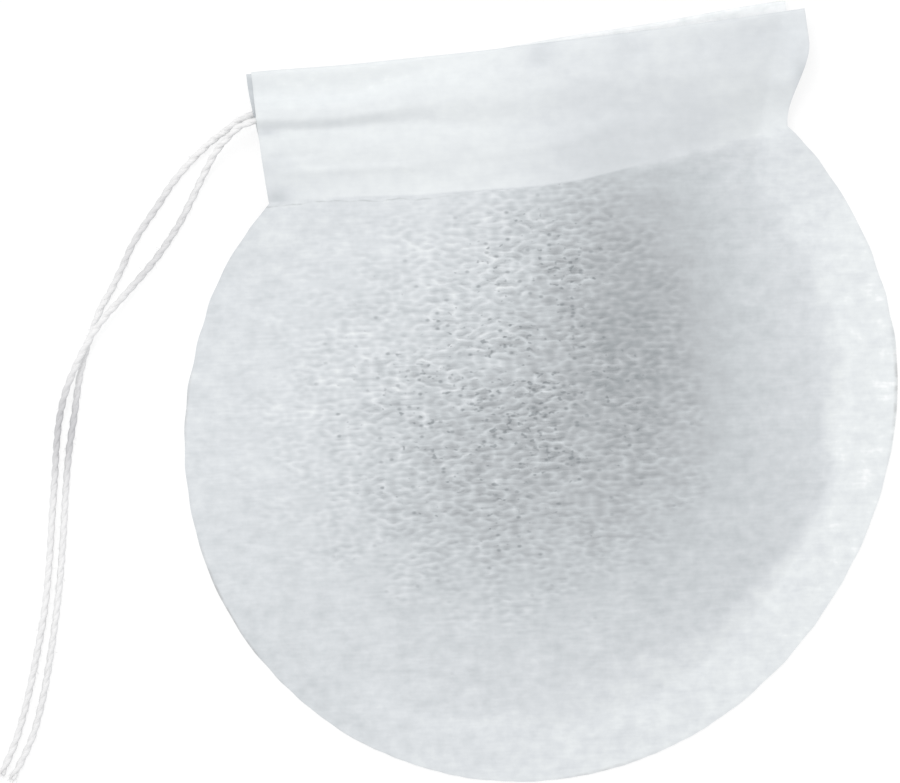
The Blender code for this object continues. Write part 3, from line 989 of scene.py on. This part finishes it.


# %% [markdown]
# ## Painted shade: how grey the paper looks
#
# The shade inside the hollow is painted into the paper's colour. Where two layers touch, the paper
# stays white. Where the front sheet stands away from what is behind it, it is painted grey, as the
# shaded hollow would look through one thin layer. The greyest painted shade lies over the deepest
# part of the hollow, to the right of the middle. It is made of a few soft ovals. On the right the
# sealed edge is painted as a lighter band with a clear inner line. In the hem the flap backs the wall,
# so the hem stays light, apart from ovals of painted shade at its creases and ends and over its right
# part. The hem line is clear at the left and turns soft to the right.

# %% Painted shade on each point
BODY_TONE = 0.25  # base of the painted shade on the body: 0 is the whitest the paper gets, and 1 the greyest
PAINTED_HOLLOW_SHADE = [  # painted shade over the hollow: middle and reach in mm, and how much greyer
    (12.4, 9.5, 11.7, 21.8, 0.56), (-5.5, -6.6, 15.8, 16.3, 0.37), (21.6, -20.5, 20.3, 15.7, 0.06),
    (-36.0, -45.0, 13.0, 29.0, 0.20), (-19.4, 15.4, 13.5, 4.0, 0.06), (2.1, 6.5, 1.6, 2.4, 0.07),
    (7.5, -12.2, 3.0, 2.4, 0.06), (-26.1, 23.6, 2.6, 3.6, -0.05), (38.5, 14.0, 4.0, 7.0, -0.05),
]
HEM_TONE = 0.12
# painted shade on the hem, at its creases and ends and over its right part: middle and reach in mm, and how
# much greyer
PAINTED_HEM_SHADE = [
    (12.0, 24.0, 9.2, 14.4, 0.22), (26.8, 37.5, 5.5, 3.0, 0.13), (21.6, 29.8, 3.2, 4.0, 0.10),
    (33.5, 37.5, 3.5, 6.0, 0.11),
    (-25.7, 35.0, 1.0, 0.4, 0.22),  # painted shade where the ridge over the string begins
    (34.3, 33.3, 0.9, 2.2, 0.22),  # painted shade where the right end turns down
    (-25.8, 27.6, 1.6, 1.1, 0.26), (-25.6, 31.4, 2.0, 1.7, 0.10), (-23.5, 28.0, 5.0, 1.4, 0.08),
    (6.1, 40.0, 1.6, 1.2, 0.12), (5.0, 38.6, 1.6, 1.4, 0.10), (14.6, 39.2, 1.7, 1.8, 0.09),
    (16.8, 38.6, 1.2, 1.6, 0.07), (-15.0, 40.0, 11.0, 1.6, -0.05),
]
SOFT_LINE_FROM = 0.0110  # to the right of this the hem line turns soft
SOFT_LINE_FADE = 0.0070
SOFT_LINE_REACH = 0.0010
BACK_TONE = 0.01
TUNNEL_TONE = 0.34  # the back hem's left end lies in the shade of the front one
TUNNEL_SHADE_X = -0.0258
TUNNEL_FADE = 0.0010
TUNNEL_LOW_SHARE = 0.12  # below the string's exit the shade is weaker
TUNNEL_LOW_Y = 0.0350
TUNNEL_LOW_FADE = 0.0030

MARGIN_LIGHT = 0.19  # how much less painted shade the sealed band on the right gets, so it looks lighter
MARGIN_SIDE = math.radians(-28)
MARGIN_SPREAD = math.radians(62)
MARGIN_STEP = 0.0026  # width of the band's inner line
MARGIN_WIDER = [(-77, 22, 0.0032), (-24, 10, -0.0012), (12, 12, 0.0010)]  # angle, reach, how far in
MARGIN_WAVES = (6, 0.010, 0.030, 0.0007)
margin_wave = waves(MARGIN_WAVES)


def painted_shade_at(sheet, x, y, on_body):
    """Painted shade: 0 where the paper is well backed, 1 where it is painted darkest."""
    if not sheet.front:
        shade = smooth(1 - (x - TUNNEL_SHADE_X) / TUNNEL_FADE) * ~on_body
        shade = shade * mix(TUNNEL_LOW_SHARE, 1.0, smooth((y - TUNNEL_LOW_Y) / TUNNEL_LOW_FADE))
        return mix(BACK_TONE, TUNNEL_TONE, shade)
    angle = np.arctan2(y, x)
    inside = inside_round(x, y) - FLAT_EDGE + margin_wave(x, y) - around(angle, MARGIN_WIDER)
    side = bell(turn_between(angle, MARGIN_SIDE) / MARGIN_SPREAD)
    # the sealed band on the right is painted lighter
    lighter = MARGIN_LIGHT * side * (1 - smooth(inside / MARGIN_STEP))
    hem = HEM_TONE + ovals(x, y, PAINTED_HEM_SHADE)
    below = sheet.line_y(share_across(x)) - y
    soft = smooth((x - SOFT_LINE_FROM) / SOFT_LINE_FADE) * smooth(1 - below / SOFT_LINE_REACH)
    body = mix(BODY_TONE + ovals(x, y, PAINTED_HOLLOW_SHADE) - lighter, hem, soft)
    return np.where(on_body, body, hem)


# %% [markdown]
# ## Where the paper is rough
#
# The fibres of the front sheet are drawn apart in the middle, where the bag is handled and filled,
# and there it shows a rough streaky grain with gaps and pores. Towards the edge it grows calm and
# cloudy. Along parts of the round edge a thin darker line of painted shade is laid on the cut.

# %% How rough each point is, and where painted shade lies on its rim
CALM_GRAIN = 0.15
HEM_GRAIN = 0.02
ROUGH_SPOTS = [
    (3.3, 18.2, 8.1, 6.0, 0.55), (-4.2, 0.8, 19.7, 16.7, 0.83),
]
ROUGH_RIGHT = 0.0165  # to the right of this the grain is calm again
ROUGH_FADE = 0.0030
ROUGH_LEFT_OVER = 0.15
RIM_TONE = 0.05
RIM_SHADES = [  # painted shade where the cut edge shows as a darker line: angle, reach, amount
    (-189, 5, 0.30), (-154, 11, 0.48), (-123, 12, 0.15), (-87, 6, 0.25), (-4, 8, 0.38),
]


def grain_seen(sheet, x, y, on_body):
    """How rough the paper's grain is, from 0 to about 1."""
    if not sheet.front:
        return 0 * x + HEM_GRAIN
    left_part = smooth(1 - (x - ROUGH_RIGHT) / ROUGH_FADE)
    body = CALM_GRAIN + ovals(x, y, ROUGH_SPOTS) * mix(ROUGH_LEFT_OVER, 1.0, left_part)
    return np.where(on_body, body, HEM_GRAIN)


def painted_rim_shade_at(x, y, on_body):
    # painted shade along parts of the cut edge
    return RIM_TONE + np.where(on_body, around(np.arctan2(y, x), RIM_SHADES), 0)


# %% [markdown]
# ## The two sheets
#
# Each sheet starts as a flat grid, like the flat paper it is cut from. Every point is then sent to
# its place on the bag. A Solidify modifier gives the paper its thickness. The points also keep some
# facts for the paper's material: how much painted shade the spot has, how rough its grain is, how
# far it lies from the cut, how much painted shade lies on the rim there and how high it lies over
# the hem line. The UV map keeps where it lay on the flat sheet.

# %% Sheets
COLUMNS = 180
BODY_ROWS = 108
LAST_WALL = BODY_ROWS + 54
LAST_FOLD = LAST_WALL + 8
ROWS = LAST_FOLD + 22
SHARP_CUT = math.radians(60)


def sheet_point(sheet, column, row):
    """Where each point of the flat grid comes to lie."""
    u = column / COLUMNS
    place = [np.empty(len(u)) for _ in range(3)]
    first = -1
    for last, shape in ((BODY_ROWS, sheet.body), (LAST_WALL, sheet.wall), (LAST_FOLD, sheet.fold),
                        (ROWS, lambda u, t: sheet.flap(u, 1 - t))):
        chosen = (row > first) & (row <= last)
        share = (row[chosen] - max(first, 0)) / (last - max(first, 0))
        for target, values in zip(place, shape(u[chosen], share)):
            target[chosen] = values
        first = last
    return place


def inside_edge(sheet, x, y, column, on_body):
    """Distance in from the cut round edge, or from the open ends of the hem."""
    ends = (NECK_RIGHT[0] + sheet.flare - NECK_LEFT[0]) * np.minimum(column, COLUMNS - column) / COLUMNS
    return np.where(on_body, inside_round(x, y), ends)


def keep_facts(mesh, sheet, x, y, column, row):
    """Stores the facts on the points, and the place on the flat sheet as the UV map."""
    on_body = row <= BODY_ROWS
    # painted shade of the hollow, the hem's creases and its ends
    keep(mesh, "see_through", painted_shade_at(sheet, x, y, on_body))
    keep(mesh, "grain", grain_seen(sheet, x, y, on_body))
    keep(mesh, "inside_edge", inside_edge(sheet, x, y, column, on_body))
    # painted shade at the cut edge
    keep(mesh, "rim", painted_rim_shade_at(x, y, on_body))
    keep(mesh, "above_hem_line", y - sheet.line_y(column / COLUMNS))
    turned_over = np.where(row > LAST_WALL, 2 * MOUTH_Y - y, y)
    corner = np.empty(len(mesh.loops), dtype=np.int32)
    mesh.loops.foreach_get("vertex_index", corner)
    places = np.column_stack([x, turned_over])[corner]
    flat_map = mesh.uv_layers.new(name="flat_sheet")
    flat_map.data.foreach_set("uv", places.astype(np.float32).ravel())


def thicken(modifier):
    modifier.thickness = FILTER_PAPER
    modifier.offset = 0.0


def make_sheet(name, sheet):
    grid = bmesh.new()
    bmesh.ops.create_grid(grid, x_segments=COLUMNS, y_segments=ROWS, size=1.0)
    flat = np.array([vertex.co[:2] for vertex in grid.verts])
    column = np.rint((flat[:, 0] + 1) / 2 * COLUMNS)
    row = np.rint((flat[:, 1] + 1) / 2 * ROWS)
    x, y, z = sheet_point(sheet, column, row)
    x, y = rippled_edge(x, y, row <= BODY_ROWS)
    z = z + relief(sheet, x, y)
    mesh = bpy.data.meshes.new(name)
    grid.to_mesh(mesh)
    grid.free()
    mesh.vertices.foreach_set("co", np.column_stack([x, y, z]).astype(np.float32).ravel())
    keep_facts(mesh, sheet, x, y, column, row)
    mesh.shade_smooth()
    item = baked(name, mesh, "SOLIDIFY", thicken)
    item.data.set_sharp_from_angle(angle=SHARP_CUT)  # the cut edge stays crisp
    return item


papers = {"front_paper": make_sheet("front_paper", FRONT), "back_paper": make_sheet("back_paper", BACK)}
for name, item in papers.items():
    print(name, sum(len(p.vertices) - 2 for p in item.data.polygons), "triangles")

# %% [markdown]
# ## Filter paper
#
# The sheet is a wet-laid nonwoven of bleached fibres, pressed but not coated. It gives the eye a
# cool matt white, greyed by the painted shade that each point keeps. Where it is calm it looks
# cloudy. Where it is rough the fibres lie mostly along the mouth: they make short raised streaks,
# with gaps and a few round pores between them, darkened with painted shade of the hollow behind.
# Every pattern is scaled from a length in millimetres on the flat sheet. A Mapping node of type
# Texture turns the pattern to the fibres first and then gives it its length and width.

# %% Filter paper material
PAPER_TONES = [  # tone of the paper by how much painted shade it has
    (0.00, "#F9FBFC"), (0.06, "#EBEFF0"), (0.25, "#DCE0E3"), (0.50, "#C8CDD0"), (0.75, "#B5B9BC"),
    (1.00, "#A1A6A9"),
]
# dark colour of gaps and pores: painted shade of the hollow seen through them
PORE_SHADE_COLOUR = "#7F8589"
PAINTED_RIM_SHADE_COLOUR = "#8A8683"
SEAM_COLOUR = "#B7BCBC"
FIBRE_TURN = math.radians(-5.5)  # the fibres lie at this angle to the mouth
PATTERNS = {  # mm along and across the fibres, octaves of detail, and a shift that sets it apart
    "cloud": ((3.4, 2.2), 2.0, 0.0),
    "calm": ((1.3, 1.2), 2.0, 0.05),
    "streak": ((0.95, 0.56), 0.0, 0.11),  # tufts of fibres, a little coarse so that they show
    "fibre": ((2.4, 0.38), 1.0, 0.19),  # long fibres along the mouth
    "gap": ((0.85, 0.55), 1.0, 0.29),
    "waver": ((2.4, 2.4), 1.0, 0.31),  # the seam's small sideways turns
    "seam": ((1.6, 1.6), 2.0, 0.37),
    "rim": ((1.1, 1.1), 2.0, 0.41),
    "patch": ((5.0, 3.4), 1.0, 0.43),  # the grain is stronger in some patches than in others
}
PORE_CELL_MM = (1.15, 0.80)  # one round pore at the most in each cell of this size
PORE_SHIFT = 0.53
PATCH_STRENGTH = (0.34, 0.66, 0.8, 1.2)  # from, to, and what they become
LAYER_STRENGTH = (0.0, 0.12, 0.6, 1.0)
DARK_STRENGTH = (0.1, 0.7, 0.4, 1.0)
SEAM_STRENGTH = (0.35, 0.65, 0.1, 0.5)
RIM_STRENGTH = (0.35, 0.65, 0.4, 1.0)
CLOUD_SHARES = (0.15, 0.30)  # how much a pattern changes the tone: everywhere, and with the grain
FIBRE_SHARES = (0.04, 0.35)
WEAVE_SHARES = (0.17, 0.42)
STREAKY_GRAIN = (0.16, 0.40)  # streaks take the place of calm clouds between these grains
GAP_OPENING = (0.31, 0.08)  # gap noise under this is open: with the grain, and everywhere
GAP_SOFTNESS = 0.18
PORE_SHARE = 0.32  # share of the cells that have a pore, where the grain is full
PORE_CHANCE_FADE = 0.20
PORE_REACH = 0.34  # radius of a pore, as a share of its cell
PORE_CORE = 0.05
PORE_DARKNESS = 0.60
SEAM_SEEN_TO = -0.0020  # the seam along the hem line shows at the left only
SEAM_FADE = 0.0100
SEAM_HALF = 0.00014  # half width of the seam
SEAM_WAVER = 0.0006
RIM_WIDTH = 0.00038
GRAIN_HEIGHT = 0.00039
DENT = -0.06  # depth of gaps, pores and the seam, as a share of the grain's height
PAPER_ROUGHNESS = 0.92
PAPER_SHINE = 0.2


def paper_material():
    material = bpy.data.materials.new("wet-laid nonwoven filter paper, pressed")
    nodes = nodes_of(material)
    add, maths, ranged = nodes.add, nodes.maths, nodes.ranged
    flat = add("ShaderNodeUVMap", uv_map="flat_sheet")

    def fact(name):
        return add("ShaderNodeAttribute", attribute_name=name).outputs["Fac"]

    def laid(size_mm, shift):
        scale = (size_mm[0] / 1000, size_mm[1] / 1000, 1)
        inputs = {"Vector": flat, "Location": (shift, 0, 0), "Rotation": (0, 0, FIBRE_TURN), "Scale": scale}
        return add("ShaderNodeMapping", inputs, vector_type="TEXTURE")

    def noise(name):
        size_mm, detail, shift = PATTERNS[name]
        inputs = {"Vector": laid(size_mm, shift), "Scale": 1.0, "Detail": detail}
        return add("ShaderNodeTexNoise", inputs, noise_dimensions="2D")

    grain = maths("MULTIPLY", fact("grain"), ranged(noise("patch"), *PATCH_STRENGTH))
    cloud, calm, streak, fibre = (maths("SUBTRACT", noise(name), 0.5)
                                  for name in ("cloud", "calm", "streak", "fibre"))

    # The calm clouds give way to streaks as the grain grows rough. Two layers show fewer clouds.
    streaky = ranged(grain, *STREAKY_GRAIN)
    weave = add("ShaderNodeMix", {"Factor_Float": streaky, "A_Float": calm, "B_Float": streak})
    layers = ranged(grain, *LAYER_STRENGTH)
    # The tone starts from the painted shade kept on each point.
    tone = fact("see_through")
    for pattern, (calm_share, rough_share) in ((cloud, CLOUD_SHARES), (fibre, FIBRE_SHARES),
                                               (weave, WEAVE_SHARES)):
        share = maths("MULTIPLY_ADD", layers, calm_share, maths("MULTIPLY", grain, rough_share))
        tone = maths("MULTIPLY_ADD", pattern, share, tone)
    colour = add("ShaderNodeValToRGB", {"Fac": tone})
    stops = colour.color_ramp.elements
    while len(stops) < len(PAPER_TONES):
        stops.new(0.5)
    for stop, (position, hex_colour) in zip(stops, PAPER_TONES):
        stop.position = position
        stop.color = linear(hex_colour)

    # Gaps are the lows of a finer noise, and pores are round dots in some of a pattern's cells.
    opening = maths("MULTIPLY_ADD", grain, *GAP_OPENING)
    gap = ranged(noise("gap"), opening, maths("SUBTRACT", opening, GAP_SOFTNESS))
    cells = add("ShaderNodeTexVoronoi", {"Vector": laid(PORE_CELL_MM, PORE_SHIFT), "Scale": 1.0},
                voronoi_dimensions="2D").outputs
    chance = add("ShaderNodeSeparateXYZ", {"Vector": cells["Color"]})
    closed = maths("MULTIPLY_ADD", grain, -PORE_SHARE, 1.0)
    pore = maths("MULTIPLY", ranged(chance, closed, maths("ADD", closed, PORE_CHANCE_FADE)),
                 ranged(cells["Distance"], PORE_REACH, PORE_CORE))
    # The dark colour of gaps and pores is painted shade of the hollow behind them.
    dark = maths("MULTIPLY", maths("MAXIMUM", gap, pore), ranged(grain, *DARK_STRENGTH))
    colour = nodes.mixed(maths("MULTIPLY", dark, PORE_DARKNESS), colour, PORE_SHADE_COLOUR)

    # The seam along the hem line, and painted shade at the cut edge where it shows.
    waver = maths("MULTIPLY_ADD", noise("waver"), SEAM_WAVER, fact("above_hem_line"))
    seam = ranged(maths("ABSOLUTE", waver), SEAM_HALF, 0.0)
    seam = maths("MULTIPLY", seam, ranged(noise("seam"), *SEAM_STRENGTH))
    along = add("ShaderNodeSeparateXYZ", {"Vector": flat})
    seam = maths("MULTIPLY", seam, ranged(along, SEAM_SEEN_TO, SEAM_SEEN_TO - SEAM_FADE))
    colour = nodes.mixed(seam, colour, SEAM_COLOUR)
    rim = maths("MULTIPLY", ranged(fact("inside_edge"), RIM_WIDTH, 0.0), fact("rim"))
    rim = maths("MULTIPLY", rim, ranged(noise("rim"), *RIM_STRENGTH))
    colour = nodes.mixed(rim, colour, PAINTED_RIM_SHADE_COLOUR)

    height = maths("MULTIPLY_ADD", dark, DENT, maths("MULTIPLY", weave, grain))
    height = maths("MULTIPLY_ADD", seam, DENT, height)
    bump = add("ShaderNodeBump", {"Strength": 1.0, "Distance": GRAIN_HEIGHT, "Height": height})
    principled(nodes, colour, bump, PAPER_ROUGHNESS, PAPER_SHINE)
    return material


filter_paper = paper_material()
for item in papers.values():
    item.data.materials.clear()
    item.data.materials.append(filter_paper)

# %% [markdown]
# ## What each piece stands for
#
# Each piece takes the place of its solid in the imported model and rides on the one body. The length
# of each free end and the flat size that each sheet was cut to are worked out from the plan.

STANDS_FOR = {
    "front_paper": ("front_sheet", "filter_paper"),
    "back_paper": ("back_sheet", "filter_paper"),
    "hem_string": ("drawstring", "cotton_string"),
    "back_string_end": ("string_end_back", "cotton_string"),
    "front_string_end": ("string_end_front", "cotton_string"),
}
for name, item in {**papers, **strings}.items():
    node, slot = STANDS_FOR[name]
    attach(item, "root")
    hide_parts(node)

for name in ("back_string_end", "front_string_end"):
    points = routes[name]
    tuple(points[0])
    route_length(points)
    [tuple(p) for p in points]


EDGE_STEPS = 720
LINE_STEPS = 200


def flat_size(sheet):
    """Width and length of the flat cut, and its area, from the plan of the bag."""
    angle = np.linspace(0, math.tau, EDGE_STEPS + 1)[:-1]
    x, y = edge_radius(angle) * np.cos(angle), edge_radius(angle) * np.sin(angle)
    u = np.linspace(0, 1, LINE_STEPS + 1)
    line = sheet.line_y(u)
    hem = float(np.mean(sheet.fold_y(u) - line)) * (NECK_RIGHT[0] - NECK_LEFT[0])
    line_here = np.interp(x, mix(NECK_LEFT[0], NECK_RIGHT[0], u), line)
    bottom = np.where(y < line_here, y, line_here)
    area = 0.5 * abs(float(np.sum(x * np.roll(bottom, -1) - np.roll(x, -1) * bottom)))
    length = MOUTH_Y - float(y.min()) + MOUTH_Y - NECK_LEFT[1]
    return float(x.max() - x.min()), length, area + 2 * hem


for name, sheet, below in (("front_paper", FRONT, "back_paper"), ("back_paper", BACK, None)):
    width, length, area = flat_size(sheet)
    print(name, "flat size in mm:", round(width * 1000, 1), "x", round(length * 1000, 1),
          "area in cm2:", round(area * 1e4, 1))
